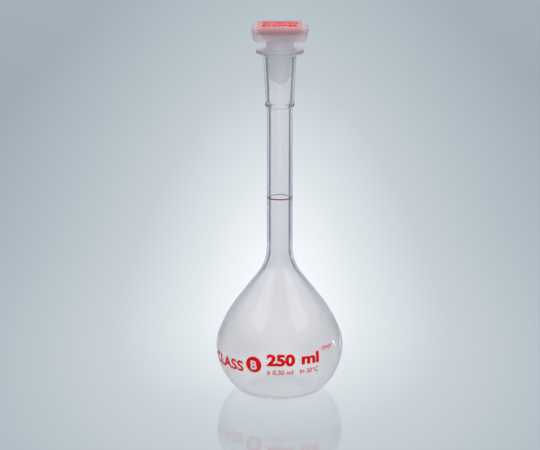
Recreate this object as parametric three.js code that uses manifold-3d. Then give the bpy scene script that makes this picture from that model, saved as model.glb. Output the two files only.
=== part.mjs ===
// A 250 ml volumetric flask in clear plastic, with its milky push-in stopper and the stopper's red lid insert.
// Millimetres, +Z up. The origin is the centre of the foot, on the surface that the flask stands on.
import * as THREE from 'three';
import { mergeVertices } from 'three/addons/utils/BufferGeometryUtils.js';
import Module from 'manifold-3d';

const wasm = await Module();
wasm.setup();

// ---------- driving dimensions ----------

const ROUND_STEPS = 40; // flats around every turned piece
const FINE_CORNER_STEPS = 2; // flats on a small rounded corner
const OVERLAP = 1; // how far a cutting or joining shape runs past the face it works on

// bulb
const BULB_RADIUS = 40.6; // at its widest
const FOOT_CORNER_RADIUS = 4.1;
const LOWER_ARC_RADIUS = 38;
const LOWER_ARC_SWEEP = 0.84; // radians of the bulb's lower arc, from the widest place down
const UPPER_ARC_RADIUS = 24.9;
const UPPER_ARC_SWEEP = 0.371;
const SHOULDER_ARC_RADIUS = 86.2; // the flatter arc above it
const SHOULDER_ARC_SWEEP = 0.282;
const NECK_FILLET_RADIUS = 26.9; // the hollow curve from the cone into the neck
const FOOT_RING_WIDTH = 4.7;
const PUSH_UP = 2; // the hollow under the foot
const BULB_WALL = 1.05;
const FLOOR_WALL = 1.3;
const WALL_THICKENS_FROM = 45; // height where the bulb's wall starts to thicken towards the neck

// neck
const NECK_RADIUS = 8.19;
const NECK_BORE_RADIUS = 5.9;
const GRADUATION_HEIGHT = 126; // 250 ml
const GRADUATION_WIDTH = 0.7;
const INK_THICKNESS = 0.15;
const INK_GAP = 0.05;

// socket: a bead at its foot, a 1:10 taper inside and out, and a flange round its mouth
const MOUTH_HEIGHT = 220.6;
const TAPER = 0.05; // change of radius with height in a 1:10 joint
const BEAD_RADIUS = 9.2;
const BEAD_HEIGHT = 185.4;
const SOCKET_FOOT_RADIUS = 8.95;
const SOCKET_FOOT_HEIGHT = 186.6;
const FLANGE_RADIUS = 14.88;
const FLANGE_THICKNESS = 2.55;
const MOUTH_RADIUS = 9.5; // of the chamfer that leads the plug in
const JOINT_RADIUS = 8.15; // of the tapered bore where the chamfer ends
const CHAMFER_DEPTH = 1.4;
const JOINT_LENGTH = 23;
const BORE_STEP_RADIUS = 6.75; // of the bore below the joint, just above its step down to the neck
const BORE_STEP_HEIGHT = 187.2;
const BORE_STEP_DROP = 1.9;

// stopper
const JOINT_CLEARANCE = 0.15;
const PLUG_END_HEIGHT = 202.1; // where the plug's side meets its tip
const PLUG_TIP_HEIGHT = 198.1;
const PLUG_WALL = 1.3;
const STOPPER_NECK_RADIUS = 8.7;
const HEAD_BOTTOM = 226.6;
const HEAD_TOP = 235.9;
const HEAD_HALF_WIDTH = 17.9; // where the head is widest
const HEAD_FOOT_HALF_WIDTH = 16.75;
const HEAD_SQUARENESS = 7; // power of the section's curve: 2 is a circle, large is a square
const HEAD_PINCH = 0.03; // how far each side is drawn in at its middle, as a share of the half width
const HEAD_RIM_HEIGHT = 2.4; // height of the rounding above the widest place
const HEAD_RIM_WIDTH = 3.5;
const HEAD_FOOT_ROUNDING = 1.7;
const HEAD_WALL = 1.8;
const LEDGE_THICKNESS = 0.9; // under the insert's rim

// lid insert
const INSERT_HALF_WIDTH = 14.05;
const INSERT_CORNER_RADIUS = 1.6;
const INSERT_TOP = 236.1;
const INSERT_RIM_DEPTH = 3.5; // of the square part, from the top down
const INSERT_PLATE_THICKNESS = 1.2;
const INSERT_GAP = 0.3;
const SKIRT_RADIUS = 13.3;
const SKIRT_WALL = 1.2;
const SKIRT_BOTTOM = 230.2;
const SNAP_BEAD_RADIUS = 14.1;
const SNAP_BEAD_HEIGHT = 0.9;

// ---------- outlines: points (r, z), r from the axis, with the heading of travel where a curve needs it ----------

function arcOn(path, radius, turn, steps) {
  // carries on along an arc; a positive turn bends to the left of the heading
  const start = path[path.length - 1];
  const side = Math.sign(turn);
  const centreR = start.r - side * radius * Math.sin(start.heading);
  const centreZ = start.z + side * radius * Math.cos(start.heading);
  for (let step = 1; step <= steps; step++) {
    const heading = start.heading + (turn * step) / steps;
    path.push({
      r: centreR + side * radius * Math.sin(heading),
      z: centreZ - side * radius * Math.cos(heading),
      heading,
    });
  }
}

function lineOn(path, length) {
  const start = path[path.length - 1];
  path.push({
    r: start.r + length * Math.cos(start.heading),
    z: start.z + length * Math.sin(start.heading),
    heading: start.heading,
  });
}

function roundedCorners(corners) {
  // corners are [r, z, rounding radius]; each rounding is an arc that touches both of its sides
  const points = [];
  corners.forEach(([r, z, rounding], index) => {
    const corner = new THREE.Vector2(r, z);
    if (!rounding) {
      points.push(corner);
      return;
    }
    const before = new THREE.Vector2(...corners[index - 1]).sub(corner).normalize();
    const after = new THREE.Vector2(...corners[index + 1]).sub(corner).normalize();
    const halfAngle = Math.acos(before.dot(after)) / 2;
    const centre = before.clone().add(after).normalize();
    centre.multiplyScalar(rounding / Math.sin(halfAngle)).add(corner);
    const tangent = rounding / Math.tan(halfAngle);
    const first = before.multiplyScalar(tangent).add(corner).sub(centre);
    const last = after.multiplyScalar(tangent).add(corner).sub(centre);
    const turn = Math.atan2(first.cross(last), first.dot(last));
    for (let step = 0; step <= FINE_CORNER_STEPS; step++) {
      const spoke = first.clone().rotateAround(new THREE.Vector2(), (turn * step) / FINE_CORNER_STEPS);
      points.push(spoke.add(centre));
    }
  });
  return points;
}

// ---------- solids ----------

function turned(points) {
  // a solid of revolution about Z
  return new THREE.LatheGeometry(points, ROUND_STEPS).rotateX(Math.PI / 2);
}

function toSolid(geometry) {
  const bare = geometry.clone();
  bare.deleteAttribute('normal');
  bare.deleteAttribute('uv');
  const merged = mergeVertices(bare, 1e-4);
  const vertProperties = new Float32Array(merged.attributes.position.array);
  const triVerts = new Uint32Array(merged.index.array);
  return new wasm.Manifold(new wasm.Mesh({ numProp: 3, vertProperties, triVerts }));
}

function toGeometry(solid) {
  const mesh = solid.getMesh();
  const geometry = new THREE.BufferGeometry();
  geometry.setAttribute('position', new THREE.BufferAttribute(mesh.vertProperties, 3));
  geometry.setIndex(new THREE.BufferAttribute(mesh.triVerts, 1));
  geometry.computeVertexNormals();
  return geometry;
}

function cushionRadius(angle, squareness, pinch) {
  // radius of a rounded square of half width 1, with each side drawn in at its middle
  const cosine = Math.abs(Math.cos(angle)) ** squareness;
  const sine = Math.abs(Math.sin(angle)) ** squareness;
  return (cosine + sine) ** (-1 / squareness) * (1 - pinch * Math.cos(2 * angle) ** 2);
}

function cushion(levels) {
  // a closed solid lofted through rounded squares; levels are [z, half width], from the bottom up
  const corners = 2 * ROUND_STEPS;
  const positions = [];
  const faces = [];
  levels.forEach(([z, halfWidth]) => {
    for (let corner = 0; corner < corners; corner++) {
      const angle = (2 * Math.PI * corner) / corners;
      const radius = halfWidth * cushionRadius(angle, HEAD_SQUARENESS, HEAD_PINCH);
      positions.push(radius * Math.cos(angle), radius * Math.sin(angle), z);
    }
  });
  const bottomCentre = positions.length / 3;
  positions.push(0, 0, levels[0][0]);
  const topCentre = bottomCentre + 1;
  positions.push(0, 0, levels[levels.length - 1][0]);
  const topRing = (levels.length - 1) * corners;
  for (let corner = 0; corner < corners; corner++) {
    const next = (corner + 1) % corners;
    faces.push(bottomCentre, next, corner);
    faces.push(topCentre, topRing + corner, topRing + next);
    for (let level = 0; level < levels.length - 1; level++) {
      const below = level * corners;
      const above = below + corners;
      faces.push(below + corner, below + next, above + next);
      faces.push(below + corner, above + next, above + corner);
    }
  }
  const geometry = new THREE.BufferGeometry();
  geometry.setAttribute('position', new THREE.Float32BufferAttribute(positions, 3));
  geometry.setIndex(faces);
  return geometry;
}

function squarePlate(halfWidth, cornerRadius, bottom, thickness) {
  const side = halfWidth - cornerRadius;
  const outline = new THREE.Shape();
  outline.absarc(side, side, cornerRadius, 0, Math.PI / 2);
  outline.absarc(-side, side, cornerRadius, Math.PI / 2, Math.PI);
  outline.absarc(-side, -side, cornerRadius, Math.PI, (3 * Math.PI) / 2);
  outline.absarc(side, -side, cornerRadius, (3 * Math.PI) / 2, 2 * Math.PI);
  const plate = new THREE.ExtrudeGeometry(outline, { depth: thickness, bevelEnabled: false, curveSegments: 5 });
  return plate.translate(0, 0, bottom);
}

// ---------- flask ----------

function bulbOutline() {
  // from the foot ring's outer edge, round the bulb and up the shoulder to where the neck starts
  const footRadius = BULB_RADIUS - LOWER_ARC_RADIUS
    + (LOWER_ARC_RADIUS - FOOT_CORNER_RADIUS) * Math.cos(LOWER_ARC_SWEEP);
  const path = [{ r: footRadius, z: 0, heading: 0 }];
  arcOn(path, FOOT_CORNER_RADIUS, Math.PI / 2 - LOWER_ARC_SWEEP, 4);
  arcOn(path, LOWER_ARC_RADIUS, LOWER_ARC_SWEEP, 8);
  arcOn(path, UPPER_ARC_RADIUS, UPPER_ARC_SWEEP, 4);
  arcOn(path, SHOULDER_ARC_RADIUS, SHOULDER_ARC_SWEEP, 4);
  const lean = UPPER_ARC_SWEEP + SHOULDER_ARC_SWEEP;
  const coneTopRadius = NECK_RADIUS + NECK_FILLET_RADIUS * (1 - Math.cos(lean));
  lineOn(path, (path[path.length - 1].r - coneTopRadius) / Math.sin(lean));
  arcOn(path, NECK_FILLET_RADIUS, -lean, 6);
  return path;
}

function wallAt(height, neckStart) {
  // the wall grows smoothly from the bulb's to the neck's
  const share = THREE.MathUtils.smoothstep(height, WALL_THICKENS_FROM, neckStart);
  return THREE.MathUtils.lerp(BULB_WALL, NECK_RADIUS - NECK_BORE_RADIUS, share);
}

function bulbInside(outside) {
  // each outside point moved in, square to the wall
  const neckStart = outside[outside.length - 1].z;
  return outside.map(({ r, z, heading }) => {
    const wall = z < FOOT_CORNER_RADIUS ? FLOOR_WALL : wallAt(z, neckStart);
    return new THREE.Vector2(r - wall * Math.sin(heading), z + wall * Math.cos(heading));
  });
}

function footHollow(footRadius) {
  // the shallow dome under the foot, from the axis out to the foot ring
  const span = footRadius - FOOT_RING_WIDTH;
  const domeRadius = (span ** 2 + PUSH_UP ** 2) / (2 * PUSH_UP);
  const path = [{ r: 0, z: PUSH_UP, heading: 0 }];
  arcOn(path, domeRadius, -Math.asin(span / domeRadius), 4);
  return path.map(({ r, z }) => new THREE.Vector2(r, z));
}

function socketOutline() {
  // from the neck, over the bead, up the taper, round the flange and down the bore to the neck's bore
  const flangeBottom = MOUTH_HEIGHT - FLANGE_THICKNESS;
  const socketTopRadius = SOCKET_FOOT_RADIUS + TAPER * (flangeBottom - SOCKET_FOOT_HEIGHT);
  const chamferEnd = MOUTH_HEIGHT - CHAMFER_DEPTH;
  const jointEnd = chamferEnd - JOINT_LENGTH;
  return roundedCorners([
    [NECK_RADIUS, BEAD_HEIGHT - 3, 0],
    [NECK_RADIUS, BEAD_HEIGHT - 1.7, 0.8],
    [BEAD_RADIUS, BEAD_HEIGHT - 0.9, 0.7],
    [BEAD_RADIUS, BEAD_HEIGHT + 0.5, 0.6],
    [SOCKET_FOOT_RADIUS, SOCKET_FOOT_HEIGHT, 0.6],
    [socketTopRadius, flangeBottom, 0.6],
    [FLANGE_RADIUS, flangeBottom, 0.5],
    [FLANGE_RADIUS, MOUTH_HEIGHT, 0.5],
    [MOUTH_RADIUS, MOUTH_HEIGHT, 0.3],
    [JOINT_RADIUS, chamferEnd, 0.4],
    [JOINT_RADIUS - TAPER * JOINT_LENGTH, jointEnd, 0],
    [BORE_STEP_RADIUS, BORE_STEP_HEIGHT, 0.8],
    [NECK_BORE_RADIUS, BORE_STEP_HEIGHT - BORE_STEP_DROP, 0.8],
    [NECK_BORE_RADIUS, BEAD_HEIGHT - 5, 0],
  ]);
}

function flaskBody() {
  const outside = bulbOutline();
  const underside = footHollow(outside[0].r);
  const outsidePoints = outside.map(({ r, z }) => new THREE.Vector2(r, z));
  const insidePoints = bulbInside(outside).reverse();
  const innerFloor = [...underside].reverse().map((point) => new THREE.Vector2(point.x, point.y + FLOOR_WALL));
  const outline = [...underside, ...outsidePoints, ...socketOutline(), ...insidePoints, ...innerFloor];
  return turned(outline);
}

function graduationLine() {
  // the printed ring: a thin band round the neck, closed on itself
  const inner = NECK_RADIUS + INK_GAP;
  const outer = inner + INK_THICKNESS;
  const bottom = GRADUATION_HEIGHT - GRADUATION_WIDTH / 2;
  const top = GRADUATION_HEIGHT + GRADUATION_WIDTH / 2;
  return turned([
    new THREE.Vector2(inner, bottom),
    new THREE.Vector2(outer, bottom),
    new THREE.Vector2(outer, top),
    new THREE.Vector2(inner, top),
    new THREE.Vector2(inner, bottom),
  ]);
}

// ---------- stopper ----------

function plugRadius(height) {
  // the plug's taper, which is the bore's less the clearance
  return JOINT_RADIUS - TAPER * (MOUTH_HEIGHT - CHAMFER_DEPTH - height) - JOINT_CLEARANCE;
}

function plugSolid() {
  const shoulder = MOUTH_HEIGHT - CHAMFER_DEPTH + 0.5;
  return toSolid(turned(roundedCorners([
    [0, PLUG_TIP_HEIGHT, 0],
    [plugRadius(PLUG_END_HEIGHT), PLUG_END_HEIGHT, 0.3],
    [plugRadius(shoulder), shoulder, 0],
    [STOPPER_NECK_RADIUS, MOUTH_HEIGHT, 0.3],
    [STOPPER_NECK_RADIUS, HEAD_BOTTOM + OVERLAP, 0],
    [0, HEAD_BOTTOM + OVERLAP, 0],
  ])));
}

function plugHollow() {
  // runs from inside the tip up into the head's pocket
  const floor = PLUG_TIP_HEIGHT + 1.5 * PLUG_WALL;
  const corner = PLUG_END_HEIGHT + PLUG_WALL;
  return toSolid(turned(roundedCorners([
    [0, floor, 0],
    [plugRadius(corner) - PLUG_WALL, corner, 0],
    [plugRadius(MOUTH_HEIGHT) - PLUG_WALL, MOUTH_HEIGHT, 0],
    [STOPPER_NECK_RADIUS - PLUG_WALL, HEAD_BOTTOM, 0],
    [STOPPER_NECK_RADIUS - PLUG_WALL, HEAD_BOTTOM + HEAD_WALL + OVERLAP, 0],
    [0, HEAD_BOTTOM + HEAD_WALL + OVERLAP, 0],
  ])));
}

function headLevels() {
  // a rounded foot, sides that lean out, and a rim that rounds over to the top
  const widest = HEAD_TOP - HEAD_RIM_HEIGHT;
  const levels = [];
  for (const share of [0, 1 / 3, 2 / 3, 1]) {
    const angle = (share * Math.PI) / 2;
    const z = HEAD_BOTTOM + HEAD_FOOT_ROUNDING * (1 - Math.cos(angle));
    levels.push([z, HEAD_FOOT_HALF_WIDTH - HEAD_FOOT_ROUNDING * (1 - Math.sin(angle))]);
  }
  for (const share of [0, 0.2, 0.4, 0.6, 0.8, 1]) {
    const angle = (share * Math.PI) / 2;
    const z = widest + HEAD_RIM_HEIGHT * Math.sin(angle);
    levels.push([z, HEAD_HALF_WIDTH - HEAD_RIM_WIDTH * (1 - Math.cos(angle))]);
  }
  return levels;
}

function headPocket(top) {
  const taperShare = HEAD_WALL / (HEAD_TOP - HEAD_BOTTOM);
  const floorHalfWidth = THREE.MathUtils.lerp(HEAD_FOOT_HALF_WIDTH, HEAD_HALF_WIDTH, taperShare) - HEAD_WALL;
  return toSolid(cushion([
    [HEAD_BOTTOM + HEAD_WALL, floorHalfWidth],
    [top, HEAD_HALF_WIDTH - HEAD_WALL],
  ]));
}

function stopperBody() {
  const recessFloor = INSERT_TOP - INSERT_RIM_DEPTH - INSERT_GAP;
  const pocketTop = recessFloor - LEDGE_THICKNESS;
  const recess = squarePlate(
    INSERT_HALF_WIDTH + INSERT_GAP, INSERT_CORNER_RADIUS + INSERT_GAP, recessFloor, INSERT_RIM_DEPTH + 2 * OVERLAP,
  );
  const skirtHole = turned(roundedCorners([
    [0, pocketTop - OVERLAP, 0],
    [SKIRT_RADIUS + INSERT_GAP, pocketTop - OVERLAP, 0],
    [SKIRT_RADIUS + INSERT_GAP, recessFloor + OVERLAP, 0],
    [0, recessFloor + OVERLAP, 0],
  ]));
  const outside = toSolid(cushion(headLevels())).add(plugSolid());
  const hollow = plugHollow().add(headPocket(pocketTop)).add(toSolid(skirtHole)).add(toSolid(recess));
  return toGeometry(outside.subtract(hollow));
}

function lidInsert() {
  // a square cap with a round skirt under it, a snap bead round the skirt's lower edge, and one round hollow
  const rimBottom = INSERT_TOP - INSERT_RIM_DEPTH;
  const skirt = turned([
    new THREE.Vector2(0, SKIRT_BOTTOM),
    new THREE.Vector2(SKIRT_RADIUS, SKIRT_BOTTOM),
    new THREE.Vector2(SNAP_BEAD_RADIUS, SKIRT_BOTTOM + SNAP_BEAD_HEIGHT / 2),
    new THREE.Vector2(SKIRT_RADIUS, SKIRT_BOTTOM + SNAP_BEAD_HEIGHT),
    new THREE.Vector2(SKIRT_RADIUS, rimBottom + OVERLAP),
    new THREE.Vector2(0, rimBottom + OVERLAP),
  ]);
  const hollowTop = INSERT_TOP - INSERT_PLATE_THICKNESS;
  const hollow = turned([
    new THREE.Vector2(0, SKIRT_BOTTOM - OVERLAP),
    new THREE.Vector2(SKIRT_RADIUS - SKIRT_WALL, SKIRT_BOTTOM - OVERLAP),
    new THREE.Vector2(SKIRT_RADIUS - SKIRT_WALL, hollowTop),
    new THREE.Vector2(0, hollowTop),
  ]);
  const cap = squarePlate(INSERT_HALF_WIDTH, INSERT_CORNER_RADIUS, rimBottom, INSERT_RIM_DEPTH);
  return toGeometry(toSolid(cap).add(toSolid(skirt)).subtract(toSolid(hollow)));
}

// ---------- assembly ----------

function piece(name, geometry, look) {
  const mesh = new THREE.Mesh(geometry, new THREE.MeshStandardMaterial({ metalness: 0, ...look }));
  mesh.name = name;
  return mesh;
}

const flask = new THREE.Group();
flask.add(piece('flask_body', flaskBody(), { color: 0xdfe1e6, roughness: 0.08, transparent: true, opacity: 0.4 }));
flask.add(piece('graduation_line', graduationLine(), { color: 0x8c1220, roughness: 0.5 }));

const stopper = new THREE.Group();
stopper.add(piece('stopper_body', stopperBody(), { color: 0xd6d4d6, roughness: 0.4, transparent: true, opacity: 0.8 }));
stopper.add(piece('lid_insert', lidInsert(), { color: 0xe0424c, roughness: 0.4 }));
flask.add(stopper);

export default flask;
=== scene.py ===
"""Looks of the 250 ml volumetric flask: a clear plastic flask with a red print, and its milky stopper."""

import math

import bmesh
import bpy
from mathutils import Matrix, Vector


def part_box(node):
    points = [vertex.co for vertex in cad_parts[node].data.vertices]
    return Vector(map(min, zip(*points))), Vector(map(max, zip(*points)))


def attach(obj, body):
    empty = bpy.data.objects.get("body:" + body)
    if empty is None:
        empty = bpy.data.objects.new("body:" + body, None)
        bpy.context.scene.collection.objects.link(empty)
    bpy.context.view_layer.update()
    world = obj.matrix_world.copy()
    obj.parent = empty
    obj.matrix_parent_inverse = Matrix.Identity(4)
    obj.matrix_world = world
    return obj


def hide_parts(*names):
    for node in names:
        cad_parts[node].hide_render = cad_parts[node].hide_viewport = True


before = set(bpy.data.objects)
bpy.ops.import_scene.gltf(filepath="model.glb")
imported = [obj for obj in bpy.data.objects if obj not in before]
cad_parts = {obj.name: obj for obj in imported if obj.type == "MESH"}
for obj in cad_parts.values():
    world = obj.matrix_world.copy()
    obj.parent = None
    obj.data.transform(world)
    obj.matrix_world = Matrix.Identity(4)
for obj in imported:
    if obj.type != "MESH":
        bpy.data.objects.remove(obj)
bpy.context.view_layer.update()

MM = 0.001  # metres

# ---------- driving dimensions in millimetres, as in the CAD unless a comment says otherwise ----------

BULB_RADIUS = 40.56  # 0.04 less than in the CAD, so that the ink stays inside its box
FOOT_CORNER_RADIUS = 4.1
LOWER_ARC_RADIUS = 38
LOWER_ARC_SWEEP = 0.84
UPPER_ARC_RADIUS = 24.9
UPPER_ARC_SWEEP = 0.371
SHOULDER_ARC_RADIUS = 86.2
SHOULDER_ARC_SWEEP = 0.282
NECK_FILLET_RADIUS = 26.9
FOOT_RING_WIDTH = 4.7
PUSH_UP = 2
BULB_WALL = 1.05
FLOOR_WALL = 1.3
WALL_THICKENS_FROM = 45

NECK_RADIUS = 8.19
NECK_BORE_RADIUS = 5.9

MOUTH_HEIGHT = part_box("flask_body")[1].z / MM
TAPER = 0.05
BEAD_RADIUS = 9.2
BEAD_HEIGHT = 185.4
BEAD_BASE = 1.7  # from BEAD_HEIGHT down to where the bead leaves the neck
BEAD_UNDERSIDE = 0.9  # from BEAD_HEIGHT down to the bead's lower edge
BEAD_TOPSIDE = 0.5  # from BEAD_HEIGHT up to its upper edge
PLAIN_NECK = 3  # from BEAD_HEIGHT down to the plain neck
PLAIN_BORE = 5  # from BEAD_HEIGHT down to the plain bore
SOCKET_FOOT_RADIUS = 8.95
SOCKET_FOOT_HEIGHT = 186.6
FLANGE_RADIUS = 14.88
FLANGE_THICKNESS = 2.55
MOUTH_RADIUS = 9.5
JOINT_RADIUS = 8.15
CHAMFER_DEPTH = 1.4
JOINT_LENGTH = 23
BORE_STEP_RADIUS = 6.75
BORE_STEP_HEIGHT = 187.2
BORE_STEP_DROP = 1.9

JOINT_CLEARANCE = 0.15
PLUG_END_HEIGHT = 202.1
PLUG_TIP_HEIGHT = 198.1
PLUG_TIP_WALL = 1.95
PLUG_SHOULDER = 0.5  # above the end of the socket's chamfer
PLUG_BORE_DROP = 1  # from the plug's shoulder down to the top of its tapered bore
PLUG_WALL = 1.3
STOPPER_NECK_RADIUS = 8.7
HEAD_BOTTOM = 226.6
HEAD_TOP = 235.9
HEAD_HALF_WIDTH = 17.9
HEAD_FOOT_HALF_WIDTH = 16.75
HEAD_SQUARENESS = 7
HEAD_PINCH = 0.03
HEAD_RIM_HEIGHT = 2.4
HEAD_RIM_WIDTH = 3.5
HEAD_FOOT_ROUNDING = 1.7
HEAD_WALL = 1.8
RECESS_SQUARENESS = 14
RECESS_EDGE = 0.05  # the step from the rim of the head into the insert's recess
LEDGE_THICKNESS = 0.9

RAISED_WORDS = 0.15  # the words reach the top of the CAD's insert, and the plate is this much lower
INSERT_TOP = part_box("lid_insert")[1].z / MM - RAISED_WORDS
INSERT_HALF_WIDTH = 14.2  # 0.15 more than in the CAD, which halves the gap that shows round it
INSERT_SQUARENESS = 16
INSERT_RIM_BOTTOM = 232.6
INSERT_PLATE_THICKNESS = 1.2
INSERT_EDGE_RADIUS = 0.25
INSERT_GAP = 0.3
SKIRT_RADIUS = 13.3
SKIRT_WALL = 1.2
SKIRT_BOTTOM = 230.2
SNAP_BEAD_RADIUS = 14.1
SNAP_BEAD_HEIGHT = 0.9
SNAP_BEAD_TIP_HEIGHT = 0.3
SNAP_BEAD_TIP_DEPTH = 0.05

INK_LIFT = 0.01  # from the plastic to the underside of the ink
INK_THICKNESS = 0.03  # of the wording, which isn't in the CAD
RING_INK_THICKNESS = 0.05  # thinner than the CAD's ring, which is thick enough to be a solid
RING_INK_ROUNDING = 0.02

# ---------- fineness of the meshes ----------

ROUND_STEPS = 144
CORNER_STEPS = 8
INK_CORNER_STEPS = 3
HEAD_FOOT_STEPS = 8
HEAD_RIM_STEPS = 12
INSERT_EDGE_STEPS = 4
INK_GRID = 0.8  # millimetres

# ---------- outlines: points (r, z) in millimetres ----------


class Pen:
    """Draws an outline as arcs and lines that carry on from each other.
    Each point has a heading in radians, from +r towards +z."""

    def __init__(self, r, z, heading=0.0):
        self.points = [(r, z, heading)]

    def arc(self, radius, turn, steps):
        r, z, heading = self.points[-1]
        side = math.copysign(1, turn)
        centre_r = r - side * radius * math.sin(heading)
        centre_z = z + side * radius * math.cos(heading)
        for step in range(1, steps + 1):
            now = heading + turn * step / steps
            r = centre_r + side * radius * math.sin(now)
            z = centre_z - side * radius * math.cos(now)
            self.points.append((r, z, now))

    def line(self, length, steps):
        r, z, heading = self.points[-1]
        for step in range(1, steps + 1):
            reach = length * step / steps
            self.points.append((r + reach * math.cos(heading), z + reach * math.sin(heading), heading))


def rounded_corners(corners, steps=CORNER_STEPS):
    """Points of an outline given by its corners (r, z, rounding).
    A rounding is an arc that touches both sides of the corner."""
    points = []
    for index, (r, z, rounding) in enumerate(corners):
        corner = Vector((r, z))
        if not rounding:
            points.append((r, z))
            continue
        before = (Vector(corners[index - 1][:2]) - corner).normalized()
        after = (Vector(corners[index + 1][:2]) - corner).normalized()
        half_angle = before.angle(after) / 2
        centre = corner + (before + after).normalized() * rounding / math.sin(half_angle)
        first = corner + before * rounding / math.tan(half_angle) - centre
        last = corner + after * rounding / math.tan(half_angle) - centre
        turn = math.atan2(first.x * last.y - first.y * last.x, first.dot(last))
        for step in range(steps + 1):
            angle = turn * step / steps
            spoke_r = first.x * math.cos(angle) - first.y * math.sin(angle)
            spoke_z = first.x * math.sin(angle) + first.y * math.cos(angle)
            points.append((centre.x + spoke_r, centre.y + spoke_z))
    return points


def smoothstep(value, low, high):
    share = min(max((value - low) / (high - low), 0.0), 1.0)
    return share * share * (3 - 2 * share)


# ---------- meshes ----------


def new_piece(name, bm, material, body, smooth_angle=40):
    """A mesh object that rides on a body, with edges sharper than smooth_angle kept crisp."""
    bmesh.ops.remove_doubles(bm, verts=bm.verts, dist=1e-8)
    bmesh.ops.recalc_face_normals(bm, faces=bm.faces)
    for face in bm.faces:
        face.smooth = True
    for edge in bm.edges:
        if len(edge.link_faces) == 2 and edge.calc_face_angle(0) > math.radians(smooth_angle):
            edge.smooth = False
    mesh = bpy.data.meshes.new(name)
    bm.to_mesh(mesh)
    bm.free()
    mesh.materials.append(material)
    piece = bpy.data.objects.new(name, mesh)
    bpy.context.scene.collection.objects.link(piece)
    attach(piece, body)
    return piece


def let_light_in(piece):
    """Lamps and the surround light what is behind and inside a see-through piece."""
    piece.visible_shadow = False
    piece.visible_diffuse = False


def add_ring(bm, z, half_width, squareness, pinch):
    """Adds vertices round the axis. Squareness 2 makes a circle, and more than that a rounded square,
    whose sides pinch draws in at their middles. A ring of no width is one vertex on the axis."""
    if half_width == 0:
        return [bm.verts.new((0, 0, z * MM))]
    ring = []
    for step in range(ROUND_STEPS):
        angle = 2 * math.pi * step / ROUND_STEPS
        power = abs(math.cos(angle)) ** squareness + abs(math.sin(angle)) ** squareness
        radius = half_width * power ** (-1 / squareness) * (1 - pinch * math.cos(2 * angle) ** 2)
        ring.append(bm.verts.new((radius * math.cos(angle) * MM, radius * math.sin(angle) * MM, z * MM)))
    return ring


def join_rings(bm, first, second):
    count = max(len(first), len(second))
    for step in range(count):
        following = (step + 1) % count
        if len(first) == 1:
            bm.faces.new((first[0], second[step], second[following]))
        elif len(second) == 1:
            bm.faces.new((first[step], second[0], first[following]))
        else:
            bm.faces.new((first[step], second[step], second[following], first[following]))


def loft(levels):
    """A closed mesh of rings (z, half width, squareness, pinch), each joined to the one before it."""
    bm = bmesh.new()
    rings = [add_ring(bm, *level) for level in levels]
    for first, second in zip(rings, rings[1:]):
        join_rings(bm, first, second)
    return bm


def lathe(points):
    """A solid of revolution. The points (r, z) run round its section."""
    return loft([(z, r, 2, 0) for r, z in points])


# ---------- materials ----------


def new_material(name):
    material = bpy.data.materials.new(name)
    material.use_nodes = True
    nodes = material.node_tree.nodes
    shader = nodes.get("Principled BSDF")
    return material, nodes, material.node_tree.links, shader


def noise(nodes, links, scale, detail=3.0, roughness=0.5, stretch=(1, 1, 1)):
    """A noise texture in object coordinates; scale is in waves to the metre."""
    source = nodes.new("ShaderNodeTexCoord")
    mapping = nodes.new("ShaderNodeMapping")
    mapping.inputs["Scale"].default_value = stretch
    links.new(source.outputs["Object"], mapping.inputs["Vector"])
    texture = nodes.new("ShaderNodeTexNoise")
    texture.inputs["Scale"].default_value = scale
    texture.inputs["Detail"].default_value = detail
    texture.inputs["Roughness"].default_value = roughness
    links.new(mapping.outputs["Vector"], texture.inputs["Vector"])
    return texture.outputs["Fac"]


def ramp(nodes, links, source, stops):
    """A colour ramp over a value; stops are (place, colour)."""
    node = nodes.new("ShaderNodeValToRGB")
    elements = node.color_ramp.elements
    while len(elements) < len(stops):
        elements.new(0.5)
    for element, (place, colour) in zip(elements, stops):
        element.position = place
        element.color = (*colour, 1)
    links.new(source, node.inputs["Fac"])
    return node.outputs["Color"]


def spread(nodes, links, source, low, high):
    """Maps 0..1 to low..high, and carries on beyond both ends."""
    node = nodes.new("ShaderNodeMapRange")
    node.clamp = False
    node.inputs["To Min"].default_value = low
    node.inputs["To Max"].default_value = high
    links.new(source, node.inputs["Value"])
    return node.outputs["Result"]


def bump(nodes, links, shader, height, distance, strength):
    node = nodes.new("ShaderNodeBump")
    node.inputs["Strength"].default_value = strength
    node.inputs["Distance"].default_value = distance
    links.new(height, node.inputs["Height"])
    links.new(node.outputs["Normal"], shader.inputs["Normal"])


def coordinates(nodes, links, space="Object"):
    """X, Y and Z of a point of a piece in metres, or, with Generated in the surround, of a direction."""
    source = nodes.new("ShaderNodeTexCoord")
    split = nodes.new("ShaderNodeSeparateXYZ")
    links.new(source.outputs[space], split.inputs["Vector"])
    return split.outputs["X"], split.outputs["Y"], split.outputs["Z"]


def height_share(nodes, links, low, high):
    """0 at the height low and 1 at the height high, both in metres."""
    _, _, height = coordinates(nodes, links)
    node = nodes.new("ShaderNodeMapRange")
    node.inputs["From Min"].default_value = low
    node.inputs["From Max"].default_value = high
    links.new(height, node.inputs["Value"])
    return node.outputs["Result"]


def grey(value):
    return (value, value, value)


def calculate(nodes, links, operation, first, second):
    node = nodes.new("ShaderNodeMath")
    node.operation = operation
    links.new(first, node.inputs[0])
    links.new(second, node.inputs[1])
    return node.outputs["Value"]


def blend_colours(nodes, links, how, first, second, share=None):
    """Blends a second colour over the first, in full or by a share that varies."""
    node = nodes.new("ShaderNodeMix")
    node.data_type = "RGBA"
    node.blend_type = how
    node.inputs["Factor"].default_value = 1.0
    if share:
        links.new(share, node.inputs["Factor"])
    links.new(first, node.inputs["A"])
    links.new(second, node.inputs["B"])
    return node.outputs["Result"]


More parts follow.
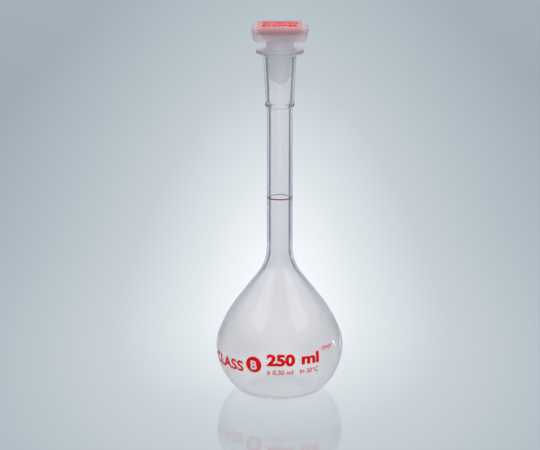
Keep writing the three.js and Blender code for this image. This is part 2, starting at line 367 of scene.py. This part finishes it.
def clear_plastic():
    """Clear PMP. The neck is glassy, the blown bulb is hazier, and the moulded flange is satin. It has soft
    moulding ripples, fine wear, and a cool tint where the light runs far through the plastic."""
    material, nodes, links, shader = new_material("clear_plastic")
    height = height_share(nodes, links, 0, MOUTH_HEIGHT * MM)
    # Painted shade: the base colour is darker over the bulb, down to its foot, than up the neck. It is a
    # little darker at the flange too.
    tint = ramp(nodes, links, height, [
        (0.00, (0.90, 0.89, 0.89)),
        (0.12, (0.90, 0.89, 0.89)),
        (0.30, (0.90, 0.885, 0.89)),
        (0.50, (0.985, 0.97, 0.975)),
        (0.84, (0.99, 0.975, 0.975)),
        (1.00, (0.93, 0.91, 0.91)),
    ])
    cloud = noise(nodes, links, scale=60, detail=4)
    cloud = ramp(nodes, links, cloud, [(0.3, grey(0.985)), (0.7, grey(1.0))])
    links.new(blend_colours(nodes, links, "MULTIPLY", tint, cloud), shader.inputs["Base Color"])
    clearness = ramp(nodes, links, height, [
        (0.00, grey(0.80)),
        (0.10, grey(0.86)),
        (0.30, grey(0.89)),
        (0.45, grey(0.86)),
        (0.84, grey(0.86)),
        (0.975, grey(0.84)),
        (0.99, grey(0.60)),
    ])
    links.new(clearness, shader.inputs["Transmission Weight"])
    shader.inputs["IOR"].default_value = 1.463
    finish = ramp(nodes, links, height, [
        (0.00, grey(0.16)),
        (0.30, grey(0.08)),
        (0.45, grey(0.01)),
        (0.84, grey(0.01)),
        (0.975, grey(0.03)),
        (0.99, grey(0.30)),
    ])
    wear = spread(nodes, links, noise(nodes, links, scale=900, detail=5, roughness=0.65), 0.0, 0.015)
    links.new(calculate(nodes, links, "ADD", finish, wear), shader.inputs["Roughness"])
    ripple = noise(nodes, links, scale=110, detail=2, stretch=(1, 1, 0.35))
    bump(nodes, links, shader, ripple, distance=0.02 * MM, strength=0.2)
    absorption = nodes.new("ShaderNodeVolumeAbsorption")
    absorption.inputs["Color"].default_value = (0.25, 0.38, 0.70, 1)
    absorption.inputs["Density"].default_value = 40
    links.new(absorption.outputs["Volume"], nodes["Material Output"].inputs["Volume"])
    return material


def milky_plastic():
    """Milky PP: light passes, blurred, and the surface is satin with a fine moulded grain.
    The head is blurrier than the plug, and its colour is painted pink, most at the insert's height, for the
    red insert's light that shows through it."""
    material, nodes, links, shader = new_material("milky_plastic")
    height = height_share(nodes, links, MOUTH_HEIGHT * MM, HEAD_TOP * MM)
    # Painted light: the colour turns pink up the head, most at the insert's height, for the red insert's
    # light seen through the wall.
    tint = ramp(nodes, links, height, [
        (0.38, (0.98, 0.96, 0.96)),
        (0.50, (0.93, 0.86, 0.88)),
        (0.74, (0.93, 0.84, 0.87)),
        (0.82, (0.92, 0.70, 0.75)),
    ])
    cloud = noise(nodes, links, scale=130, detail=4)
    cloud = ramp(nodes, links, cloud, [(0.3, grey(0.95)), (0.7, grey(1.0))])
    links.new(blend_colours(nodes, links, "MULTIPLY", tint, cloud), shader.inputs["Base Color"])
    clearness = ramp(nodes, links, height, [(0.38, grey(0.62)), (0.5, grey(0.8))])
    links.new(clearness, shader.inputs["Transmission Weight"])
    shader.inputs["IOR"].default_value = 1.49
    grain = noise(nodes, links, scale=2600)
    finish = ramp(nodes, links, height, [(0.38, grey(0.28)), (0.5, grey(0.46))])
    speckle = spread(nodes, links, grain, 0.0, 0.1)
    links.new(calculate(nodes, links, "ADD", finish, speckle), shader.inputs["Roughness"])
    bump(nodes, links, shader, grain, distance=0.02 * MM, strength=0.5)
    return material


def red_plastic():
    """Red moulded PP of the lid insert, smooth enough to mirror the surround at a low angle."""
    material, nodes, links, shader = new_material("red_plastic")
    cloud = noise(nodes, links, scale=200)
    tint = ramp(nodes, links, cloud, [(0.3, (0.54, 0.012, 0.032)), (0.7, (0.62, 0.018, 0.042))])
    links.new(tint, shader.inputs["Base Color"])
    grain = noise(nodes, links, scale=1800)
    links.new(spread(nodes, links, grain, 0.10, 0.18), shader.inputs["Roughness"])
    shader.inputs["Coat Weight"].default_value = 0.35
    shader.inputs["Coat Roughness"].default_value = 0.1
    bump(nodes, links, shader, grain, distance=0.01 * MM, strength=0.3)
    return material


def ink(name, dark, light):
    """Screen-printed enamel: nearly even colour, with the faint mottle of the screen."""
    material, nodes, links, shader = new_material(name)
    mottle = noise(nodes, links, scale=1500)
    links.new(ramp(nodes, links, mottle, [(0.35, dark), (0.65, light)]), shader.inputs["Base Color"])
    links.new(spread(nodes, links, mottle, 0.5, 0.7), shader.inputs["Roughness"])
    shader.inputs["Specular IOR Level"].default_value = 0.15
    bump(nodes, links, shader, mottle, distance=0.01 * MM, strength=0.4)
    return material


PALE_INK = ink("pale_ink", (0.80, 0.78, 0.79), (0.86, 0.84, 0.85))
CLEAR = clear_plastic()
MILKY = milky_plastic()
RED = red_plastic()
RED_INK = ink("red_ink", (0.84, 0.0, 0.0), (0.94, 0.003, 0.003))
DARK_INK = ink("dark_red_ink", (0.28, 0.002, 0.010), (0.36, 0.004, 0.015))

# ---------- flask ----------


def bulb_outline():
    """From the foot ring's outer edge, round the bulb and up the shoulder to where the neck starts."""
    foot_radius = (BULB_RADIUS - LOWER_ARC_RADIUS
                   + (LOWER_ARC_RADIUS - FOOT_CORNER_RADIUS) * math.cos(LOWER_ARC_SWEEP))
    pen = Pen(foot_radius, 0)
    pen.arc(FOOT_CORNER_RADIUS, math.pi / 2 - LOWER_ARC_SWEEP, steps=12)
    pen.arc(LOWER_ARC_RADIUS, LOWER_ARC_SWEEP, steps=30)
    pen.arc(UPPER_ARC_RADIUS, UPPER_ARC_SWEEP, steps=12)
    pen.arc(SHOULDER_ARC_RADIUS, SHOULDER_ARC_SWEEP, steps=20)
    lean = UPPER_ARC_SWEEP + SHOULDER_ARC_SWEEP
    cone_top = NECK_RADIUS + NECK_FILLET_RADIUS * (1 - math.cos(lean))
    pen.line((pen.points[-1][0] - cone_top) / math.sin(lean), steps=16)
    pen.arc(NECK_FILLET_RADIUS, -lean, steps=20)
    return pen.points


def wall_at(height, neck_start):
    """The wall is even round the bulb, and grows to the neck's thickness up the shoulder."""
    share = smoothstep(height, WALL_THICKENS_FROM, neck_start)
    return BULB_WALL + (NECK_RADIUS - NECK_BORE_RADIUS - BULB_WALL) * share


def bulb_inside(outside):
    """Each outside point moved in, square to the wall."""
    neck_start = outside[-1][1]
    inside = []
    for r, z, heading in outside:
        floor_share = 1 - smoothstep(z, 0, FOOT_CORNER_RADIUS)
        wall = wall_at(z, neck_start) + (FLOOR_WALL - BULB_WALL) * floor_share
        inside.append((r - wall * math.sin(heading), z + wall * math.cos(heading)))
    return inside


def foot_hollow(foot_radius):
    """The shallow dome under the foot, from the axis to the inner edge of the foot ring."""
    span = foot_radius - FOOT_RING_WIDTH
    dome_radius = (span ** 2 + PUSH_UP ** 2) / (2 * PUSH_UP)
    pen = Pen(0, PUSH_UP)
    pen.arc(dome_radius, -math.asin(span / dome_radius), steps=10)
    return [(r, z) for r, z, _ in pen.points]


def socket_outline():
    """From the neck, over the bead, up the taper, round the flange and down the bore to the neck's bore."""
    flange_bottom = MOUTH_HEIGHT - FLANGE_THICKNESS
    socket_top_radius = SOCKET_FOOT_RADIUS + TAPER * (flange_bottom - SOCKET_FOOT_HEIGHT)
    chamfer_end = MOUTH_HEIGHT - CHAMFER_DEPTH
    joint_end = chamfer_end - JOINT_LENGTH
    return rounded_corners([
        (NECK_RADIUS, BEAD_HEIGHT - PLAIN_NECK, 0),
        (NECK_RADIUS, BEAD_HEIGHT - BEAD_BASE, 0.8),
        (BEAD_RADIUS, BEAD_HEIGHT - BEAD_UNDERSIDE, 0.7),
        (BEAD_RADIUS, BEAD_HEIGHT + BEAD_TOPSIDE, 0.6),
        (SOCKET_FOOT_RADIUS, SOCKET_FOOT_HEIGHT, 0.6),
        (socket_top_radius, flange_bottom, 0.6),
        (FLANGE_RADIUS, flange_bottom, 0.5),
        (FLANGE_RADIUS, MOUTH_HEIGHT, 0.5),
        (MOUTH_RADIUS, MOUTH_HEIGHT, 0.3),
        (JOINT_RADIUS, chamfer_end, 0.4),
        (JOINT_RADIUS - TAPER * JOINT_LENGTH, joint_end, 0),
        (BORE_STEP_RADIUS, BORE_STEP_HEIGHT, 0.8),
        (NECK_BORE_RADIUS, BORE_STEP_HEIGHT - BORE_STEP_DROP, 0.8),
        (NECK_BORE_RADIUS, BEAD_HEIGHT - PLAIN_BORE, 0),
    ])


def make_flask_body():
    """The section runs from the axis under the foot, up the outside, over the mouth and down the inside."""
    outside = bulb_outline()
    underside = foot_hollow(outside[0][0])
    inner_floor = [(r, z + FLOOR_WALL) for r, z in reversed(underside)]
    points = underside + [(r, z) for r, z, _ in outside]
    points += socket_outline() + bulb_inside(outside)[::-1] + inner_floor
    piece = new_piece("flask", lathe(points), CLEAR, "flask", smooth_angle=60)
    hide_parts("flask_body")
    let_light_in(piece)


def make_graduation_line():
    """The printed ring: a film of ink that hugs the neck."""
    low, high = (corner.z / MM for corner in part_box("graduation_line"))
    inner = NECK_RADIUS + INK_LIFT
    outer = inner + RING_INK_THICKNESS
    middle = (low + high) / 2
    points = rounded_corners([
        (inner, middle, 0),
        (inner, low, 0),
        (outer, low, RING_INK_ROUNDING),
        (outer, high, RING_INK_ROUNDING),
        (inner, high, 0),
        (inner, middle, 0),
    ], steps=INK_CORNER_STEPS)
    piece = new_piece("ring_mark", lathe(points), DARK_INK, "flask")
    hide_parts("graduation_line")


# ---------- stopper ----------


def plug_radius(height):
    return JOINT_RADIUS - TAPER * (MOUTH_HEIGHT - CHAMFER_DEPTH - height) - JOINT_CLEARANCE


def quarter_turn(steps):
    """Angles from 0 to a right angle, both included."""
    return [step / steps * math.pi / 2 for step in range(steps + 1)]


def stopper_outside(shoulder):
    """Levels of the stopper from the plug's tip, up its taper and round the head to the rim."""
    plug = rounded_corners([
        (0, PLUG_TIP_HEIGHT, 0),
        (plug_radius(PLUG_END_HEIGHT), PLUG_END_HEIGHT, 0.3),
        (plug_radius(shoulder), shoulder, 0.2),
        (STOPPER_NECK_RADIUS, MOUTH_HEIGHT, 0.3),
        (STOPPER_NECK_RADIUS, HEAD_BOTTOM, 0),
    ])
    levels = [(z, r, 2, 0) for r, z in plug]
    for angle in quarter_turn(HEAD_FOOT_STEPS):
        z = HEAD_BOTTOM + HEAD_FOOT_ROUNDING * (1 - math.cos(angle))
        half_width = HEAD_FOOT_HALF_WIDTH - HEAD_FOOT_ROUNDING * (1 - math.sin(angle))
        levels.append((z, half_width, HEAD_SQUARENESS, HEAD_PINCH))
    for angle in quarter_turn(HEAD_RIM_STEPS):
        z = HEAD_TOP - HEAD_RIM_HEIGHT * (1 - math.sin(angle))
        half_width = HEAD_HALF_WIDTH - HEAD_RIM_WIDTH * (1 - math.cos(angle))
        levels.append((z, half_width, HEAD_SQUARENESS, HEAD_PINCH))
    return levels


def stopper_inside(shoulder):
    """Levels of the stopper from the rim, down the insert's recess, under the ledge and down the plug."""
    recess = HEAD_HALF_WIDTH - HEAD_RIM_WIDTH - RECESS_EDGE
    recess_floor = INSERT_RIM_BOTTOM - INSERT_GAP
    ledge = SKIRT_RADIUS + INSERT_GAP
    pocket_top = recess_floor - LEDGE_THICKNESS
    pocket_floor = HEAD_BOTTOM + HEAD_WALL
    neck_bore = STOPPER_NECK_RADIUS - PLUG_WALL
    bore_top = shoulder - PLUG_BORE_DROP
    return [
        (HEAD_TOP - RECESS_EDGE, recess, RECESS_SQUARENESS, 0),
        (recess_floor, recess, RECESS_SQUARENESS, 0),
        (recess_floor, ledge, 2, 0),
        (pocket_top, ledge, 2, 0),
        (pocket_top, HEAD_HALF_WIDTH - HEAD_WALL, HEAD_SQUARENESS, HEAD_PINCH),
        (pocket_floor, HEAD_FOOT_HALF_WIDTH - HEAD_WALL, HEAD_SQUARENESS, HEAD_PINCH),
        (pocket_floor, neck_bore, 2, 0),
        (MOUTH_HEIGHT, neck_bore, 2, 0),
        (bore_top, plug_radius(bore_top) - PLUG_WALL, 2, 0),
        (PLUG_END_HEIGHT + PLUG_WALL, plug_radius(PLUG_END_HEIGHT) - PLUG_WALL, 2, 0),
        (PLUG_TIP_HEIGHT + PLUG_TIP_WALL, 0, 2, 0),
    ]


def make_stopper():
    """One hollow moulding: plug, short neck and square head."""
    shoulder = MOUTH_HEIGHT - CHAMFER_DEPTH + PLUG_SHOULDER
    mesh = loft(stopper_outside(shoulder) + stopper_inside(shoulder))
    piece = new_piece("stopper", mesh, MILKY, "stopper", smooth_angle=50)
    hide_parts("stopper_body")
    let_light_in(piece)


def make_lid_insert():
    """The red square cap with its round skirt and snap bead."""
    plate_bottom = INSERT_TOP - INSERT_PLATE_THICKNESS
    bead_middle = SKIRT_BOTTOM + SNAP_BEAD_HEIGHT / 2
    bead_tip = SNAP_BEAD_RADIUS - SNAP_BEAD_TIP_DEPTH
    inner = SKIRT_RADIUS - SKIRT_WALL
    levels = [(INSERT_TOP, 0, 2, 0)]
    for angle in quarter_turn(INSERT_EDGE_STEPS):
        z = INSERT_TOP - INSERT_EDGE_RADIUS * (1 - math.cos(angle))
        half_width = INSERT_HALF_WIDTH - INSERT_EDGE_RADIUS * (1 - math.sin(angle))
        levels.append((z, half_width, INSERT_SQUARENESS, 0))
    levels.append((INSERT_RIM_BOTTOM, INSERT_HALF_WIDTH, INSERT_SQUARENESS, 0))
    levels += [(z, r, 2, 0) for r, z in (
        (SKIRT_RADIUS, INSERT_RIM_BOTTOM),
        (SKIRT_RADIUS, SKIRT_BOTTOM + SNAP_BEAD_HEIGHT),
        (bead_tip, bead_middle + SNAP_BEAD_TIP_HEIGHT / 2),
        (SNAP_BEAD_RADIUS, bead_middle),
        (bead_tip, bead_middle - SNAP_BEAD_TIP_HEIGHT / 2),
        (SKIRT_RADIUS, SKIRT_BOTTOM),
        (inner, SKIRT_BOTTOM),
        (inner, plate_bottom),
        (0, plate_bottom),
    )]
    piece = new_piece("stopper_insert", loft(levels), RED, "stopper", smooth_angle=50)
    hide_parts("lid_insert")


# ---------- print ----------

CAPITAL_HEIGHT = 0.7  # of the built-in typeface, at size 1
CLASS_DISC_RADIUS = 5.3
CLASS_LETTER_HEIGHT = 6.0
CLASS_LETTER_WIDTH = 4.2
CLASS_LETTER_LEFT = 2.0  # from the middle of the disc to the letter's left end
CLASS_LETTER_LIFT = 1.2  # in layers of ink, so that the letter lies over the disc
RAISED_WORDS_WIDTH = 22


def bulb_point(climb):
    """(r, z, outward r, outward z) on the bulb, climb millimetres along the wall above its widest place."""
    equator = (LOWER_ARC_RADIUS - FOOT_CORNER_RADIUS) * math.sin(LOWER_ARC_SWEEP) + FOOT_CORNER_RADIUS
    arc = UPPER_ARC_RADIUS if climb > 0 else LOWER_ARC_RADIUS
    angle = climb / arc
    if angle > UPPER_ARC_SWEEP:
        angle = UPPER_ARC_SWEEP + (climb - arc * UPPER_ARC_SWEEP) / SHOULDER_ARC_RADIUS
        start_r = BULB_RADIUS - UPPER_ARC_RADIUS * (1 - math.cos(UPPER_ARC_SWEEP))
        start_z = equator + UPPER_ARC_RADIUS * math.sin(UPPER_ARC_SWEEP)
        r = start_r + SHOULDER_ARC_RADIUS * (math.cos(angle) - math.cos(UPPER_ARC_SWEEP))
        z = start_z + SHOULDER_ARC_RADIUS * (math.sin(angle) - math.sin(UPPER_ARC_SWEEP))
    else:
        r = BULB_RADIUS - arc * (1 - math.cos(angle))
        z = equator + arc * math.sin(angle)
    return r, z, math.cos(angle), math.sin(angle)


def text_mesh(words, height, width, bold=0.0, spacing=1.0):
    """A flat mesh of the words in millimetres. Its left end and baseline are at the origin, its capitals
    are height tall, and z runs from -0.5 to 0.5 through it."""
    curve = bpy.data.curves.new("words", "FONT")
    curve.body = words
    curve.size = 1
    curve.offset = bold
    curve.space_character = spacing
    curve.extrude = 0.5
    curve.resolution_u = 6
    holder = bpy.data.objects.new("words", curve)
    bpy.context.scene.collection.objects.link(holder)
    bpy.context.view_layer.update()
    mesh = bpy.data.meshes.new_from_object(holder.evaluated_get(bpy.context.evaluated_depsgraph_get()))
    bpy.data.objects.remove(holder)
    bpy.data.curves.remove(curve)
    bm = bmesh.new()
    bm.from_mesh(mesh)
    bpy.data.meshes.remove(mesh)
    bmesh.ops.remove_doubles(bm, verts=bm.verts, dist=1e-5)
    left = min(v.co.x for v in bm.verts)
    right = max(v.co.x for v in bm.verts)
    capital = CAPITAL_HEIGHT + 2 * bold
    for v in bm.verts:
        v.co.x = (v.co.x - left) * width / (right - left)
        v.co.y = v.co.y * height / capital
    return bm


def slice_up(bm):
    """Cuts a flat mesh on a grid, so that it can bend round the bulb."""
    for axis in (0, 1):
        low = min(v.co[axis] for v in bm.verts)
        high = max(v.co[axis] for v in bm.verts)
        normal = [0, 0, 0]
        normal[axis] = 1
        for cut in range(1, math.ceil((high - low) / INK_GRID)):
            place = [0, 0, 0]
            place[axis] = low + cut * INK_GRID
            everything = bm.verts[:] + bm.edges[:] + bm.faces[:]
            bmesh.ops.bisect_plane(bm, geom=everything, plane_co=place, plane_no=normal, dist=1e-6)


def print_on_bulb(name, bm, along, climb, ink, layers_up=0.0):
    """Bends a flat mesh (x along, y up, z through the ink) round the bulb's front, and makes it a piece."""
    slice_up(bm)
    for v in bm.verts:
        r, z, out_r, out_z = bulb_point(climb + v.co.y)
        angle = (along + v.co.x) / BULB_RADIUS
        lift = INK_LIFT + (v.co.z + layers_up + 0.5) * INK_THICKNESS
        reach = (r + lift * out_r) * MM
        v.co = (reach * math.sin(angle), -reach * math.cos(angle), (z + lift * out_z) * MM)
    new_piece(name, bm, ink, "flask")


def make_print():
    """Capacity, tolerance, temperature, plastic and class. In millimetres, along is round the bulb from the
    middle of its front, and climb is up its wall from the widest place."""
    for name, words, along, climb, height, width, bold, spacing in (
        ("print_capacity", "250", -8.2, -2.3, 7.8, 18.1, 0.05, 1.0),
        ("print_unit", "ml", 14.1, -1.9, 7.6, 12.6, 0.045, 1.0),
        ("print_tolerance", "± 0,30 ml", -8.1, -8.6, 3.2, 16.8, 0.015, 1.0),
        ("print_temperature", "In 20°C", 13.4, -8.3, 3.2, 13.2, 0.015, 1.0),
        ("print_plastic", "PMP", 30.0, 4.2, 3.0, 8.9, 0.0, 1.0),
        ("print_class", "CLASS", -56, -8.5, 7.4, 31.5, 0.03, 1.06),
    ):
        print_on_bulb(name, text_mesh(words, height, width, bold, spacing), along, climb, RED_INK)
    make_class_disc(-16.8, -2.7)


def make_class_disc(along, climb):
    """A printed disc with a pale class letter over it."""
    disc = bmesh.new()
    bmesh.ops.create_circle(disc, cap_ends=True, segments=72, radius=CLASS_DISC_RADIUS)
    print_on_bulb("print_class_disc", disc, along, climb, RED_INK)
    letter = text_mesh("B", CLASS_LETTER_HEIGHT, CLASS_LETTER_WIDTH, bold=0.03)
    left = along - CLASS_LETTER_LEFT
    baseline = climb - CLASS_LETTER_HEIGHT / 2
    print_on_bulb("print_class_letter", letter, left, baseline, PALE_INK, CLASS_LETTER_LIFT)


def make_lid_words():
    """Raised words on the insert, in two rows."""
    for name, words, row, height in (
        ("lid_words_back", "POLYPROPYLENE", 2.6, 5.0),
        ("lid_words_front", "STOPPER", -10.2, 8.0),
    ):
        bm = text_mesh(words, height, RAISED_WORDS_WIDTH, bold=0.03)
        for v in bm.verts:
            top = INSERT_TOP + RAISED_WORDS * (v.co.z + 0.5)
            v.co = ((v.co.x - RAISED_WORDS_WIDTH / 2) * MM, (row + v.co.y) * MM, top * MM)
        new_piece(name, bm, RED_INK, "stopper")


# ---------- stage, in metres ----------

FLOOR_RADIUS = 6
FLOOR_GAP = 0.00002
PAINTED_POOL_BEHIND = 0.17  # from the part to the middle of the painted pool of light on the floor
PAINTED_POOL_HALF_WIDTH = 0.2
PAINTED_POOL_BACK_LENGTH = 1.7
PAINTED_POOL_FRONT_LENGTH = 0.45
PAINTED_POOL_EDGE = 3.0  # in half widths
PALE_FLOOR = (0.88, 0.88, 0.88)
DARK_CARD = (0.10, 0.13, 0.20)
CARDS_START = 0.25  # from the part
CARDS_FULL = 0.42

PANELS_UP_TO = 20  # degrees from straight in front or straight behind
FLAGS_FROM = 45
SOFTBOX_ASIDE = 1.1
SOFTBOX_IN_FRONT = 0.65
SOFTBOX_HEIGHT = 1.4
SOFTBOX_SIZE = (1.1, 0.8)
SOFTBOX_TARGET = (0, 0, 0.12)
SIDE_LAMP_PLACE = (1.1, 0.55, 0.04)
SIDE_LAMP_SIZE = (0.07, 0.07)
SIDE_LAMP_TARGET = (0, 0, 0.03)

CAMERA_PLACE = (0, -1.2293, 0.4124)
CAMERA_DIP = 0.243  # radians below level
CAMERA_PAN = 0.005
LENS = 133.0  # millimetres, like SENSOR_WIDTH
SENSOR_WIDTH = 36


def painted_light_pool_share(nodes, links):
    """0 at the middle of the painted pool of light on the floor, growing to 1 at its edge."""
    x, y, _ = coordinates(nodes, links)
    from_middle = spread(nodes, links, y, -PAINTED_POOL_BEHIND, 1 - PAINTED_POOL_BEHIND)
    behind = spread(nodes, links, from_middle, 0, 1 / PAINTED_POOL_BACK_LENGTH)
    in_front = spread(nodes, links, from_middle, 0, -1 / PAINTED_POOL_FRONT_LENGTH)
    along = calculate(nodes, links, "MAXIMUM", behind, in_front)
    across = spread(nodes, links, x, 0, 1 / PAINTED_POOL_HALF_WIDTH)
    place = nodes.new("ShaderNodeCombineXYZ")
    links.new(across, place.inputs["X"])
    links.new(along, place.inputs["Y"])
    length = nodes.new("ShaderNodeVectorMath")
    length.operation = "LENGTH"
    links.new(place.outputs["Vector"], length.inputs[0])
    return spread(nodes, links, length.outputs["Value"], 0, 1 / PAINTED_POOL_EDGE)


def add_floor(name, material):
    bm = bmesh.new()
    bmesh.ops.create_circle(bm, cap_ends=True, segments=96, radius=FLOOR_RADIUS)
    mesh = bpy.data.meshes.new(name)
    bm.to_mesh(mesh)
    bm.free()
    mesh.materials.append(material)
    floor = bpy.data.objects.new(name, mesh)
    bpy.context.scene.collection.objects.link(floor)
    return floor


def painted_pool_floor():
    """Glossy floor with a painted pool of light: lightest in a long pool just behind the part, painted
    cooler and darker away from it.
    """
    material, nodes, links, shader = new_material("floor_with_painted_light_pool")
    # Painted pool of light: pale just behind the part, painted darker and cooler away from it.
    tone = ramp(nodes, links, painted_light_pool_share(nodes, links), [
        (0.0, (0.94, 0.94, 0.96)),
        (0.04, (0.87, 0.88, 0.90)),
        (0.10, (0.69, 0.73, 0.75)),
        (0.20, (0.46, 0.51, 0.54)),
        (0.33, (0.32, 0.38, 0.42)),
        (0.55, (0.15, 0.20, 0.245)),
        (1.0, (0.12, 0.165, 0.205)),
    ])
    links.new(tone, shader.inputs["Base Color"])
    shader.inputs["Roughness"].default_value = 0.015
    shader.inputs["Specular IOR Level"].default_value = 0.8
    return material


def carded_floor():
    """Evenly pale floor with four dark cards that point away from the part along the diagonals."""
    material, nodes, links, shader = new_material("carded_floor")
    x, y, _ = coordinates(nodes, links)
    square_x = calculate(nodes, links, "MULTIPLY", x, x)
    square_y = calculate(nodes, links, "MULTIPLY", y, y)
    total = calculate(nodes, links, "ADD", square_x, square_y)
    turned_aside = calculate(nodes, links, "DIVIDE", square_x, total)
    cards = ramp(nodes, links, turned_aside, [
        (0.26, PALE_FLOOR),
        (0.31, DARK_CARD),
        (0.88, DARK_CARD),
        (0.94, PALE_FLOOR),
    ])
    pale = ramp(nodes, links, total, [(0, PALE_FLOOR), (1, grey(1))])
    far = ramp(nodes, links, total, [(CARDS_START ** 2, grey(0)), (CARDS_FULL ** 2, grey(1))])
    tone = blend_colours(nodes, links, "MIX", pale, cards, share=far)
    links.new(tone, shader.inputs["Base Color"])
    shader.inputs["Roughness"].default_value = 0.5
    return material


def make_floor():
    """A pale floor with a painted pool of light, lightest just behind the part and painted darker away from
    it. Through the plastic another disc is seen in its place, evenly pale with dark cards at the diagonals,
    which draw the edges of the walls."""
    seen = add_floor("floor", painted_pool_floor())
    seen.visible_transmission = False
    through = add_floor("floor_through_plastic", carded_floor())
    through.location.z = FLOOR_GAP
    through.visible_shadow = False
    through.visible_camera = False
    through.visible_diffuse = False
    through.visible_glossy = False


def add_light(name, place, target, size, power):
    lamp = bpy.data.lights.new(name, "AREA")
    lamp.shape = "RECTANGLE"
    lamp.size, lamp.size_y = size
    lamp.energy = power
    light = bpy.data.objects.new(name, lamp)
    light.location = place
    light.rotation_euler = (Vector(target) - Vector(place)).to_track_quat("-Z", "Y").to_euler()
    light.visible_camera = False
    bpy.context.scene.collection.objects.link(light)


def make_surround():
    """Pale panels in front and behind, and dark flags low down on both sides, which draw the edges of clear
    plastic."""
    world = bpy.data.worlds.new("studio")
    world.use_nodes = True
    nodes, links = world.node_tree.nodes, world.node_tree.links
    _, depth, height = coordinates(nodes, links, space="Generated")
    panel = ramp(nodes, links, height, [
        (0.0, (0.42, 0.47, 0.51)),
        (0.25, (0.55, 0.595, 0.625)),
        (0.6, (1.0, 1.0, 1.0)),
    ])
    flag = ramp(nodes, links, height, [
        (0.0, (0.10, 0.13, 0.17)),
        (0.3, (0.16, 0.20, 0.25)),
        (0.6, (1.0, 1.0, 1.0)),
    ])
    square = calculate(nodes, links, "MULTIPLY", depth, depth)
    panel_share = nodes.new("ShaderNodeMapRange")
    panel_share.interpolation_type = "SMOOTHSTEP"
    panel_share.inputs["From Min"].default_value = math.cos(math.radians(FLAGS_FROM)) ** 2
    panel_share.inputs["From Max"].default_value = math.cos(math.radians(PANELS_UP_TO)) ** 2
    links.new(square, panel_share.inputs["Value"])
    sky = blend_colours(nodes, links, "MIX", flag, panel, share=panel_share.outputs["Result"])
    links.new(sky, nodes["Background"].inputs["Color"])
    nodes["Background"].inputs["Strength"].default_value = 1.24
    bpy.context.scene.world = world


def make_lamps():
    """Two softboxes high up in front, and a small lamp low down on the right."""
    for side, name in ((-1, "left_softbox"), (1, "right_softbox")):
        place = (side * SOFTBOX_ASIDE, -SOFTBOX_IN_FRONT, SOFTBOX_HEIGHT)
        add_light(name, place, SOFTBOX_TARGET, SOFTBOX_SIZE, power=2.6)
    add_light("side_lamp", SIDE_LAMP_PLACE, SIDE_LAMP_TARGET, SIDE_LAMP_SIZE, power=0.2)


def make_camera():
    """A long lens 1.3 m away, looking down at about 14 degrees."""
    data = bpy.data.cameras.new("camera")
    data.sensor_width = SENSOR_WIDTH
    data.lens = LENS
    camera = bpy.data.objects.new("camera", data)
    camera.location = CAMERA_PLACE
    camera.rotation_euler = (math.pi / 2 - CAMERA_DIP, 0, CAMERA_PAN)
    bpy.context.scene.collection.objects.link(camera)
    bpy.context.scene.camera = camera


make_camera()
make_flask_body()
make_graduation_line()
make_stopper()
make_lid_insert()
make_print()
make_lid_words()
make_floor()
make_surround()
make_lamps()
bpy.context.scene.view_settings.view_transform = "Standard"
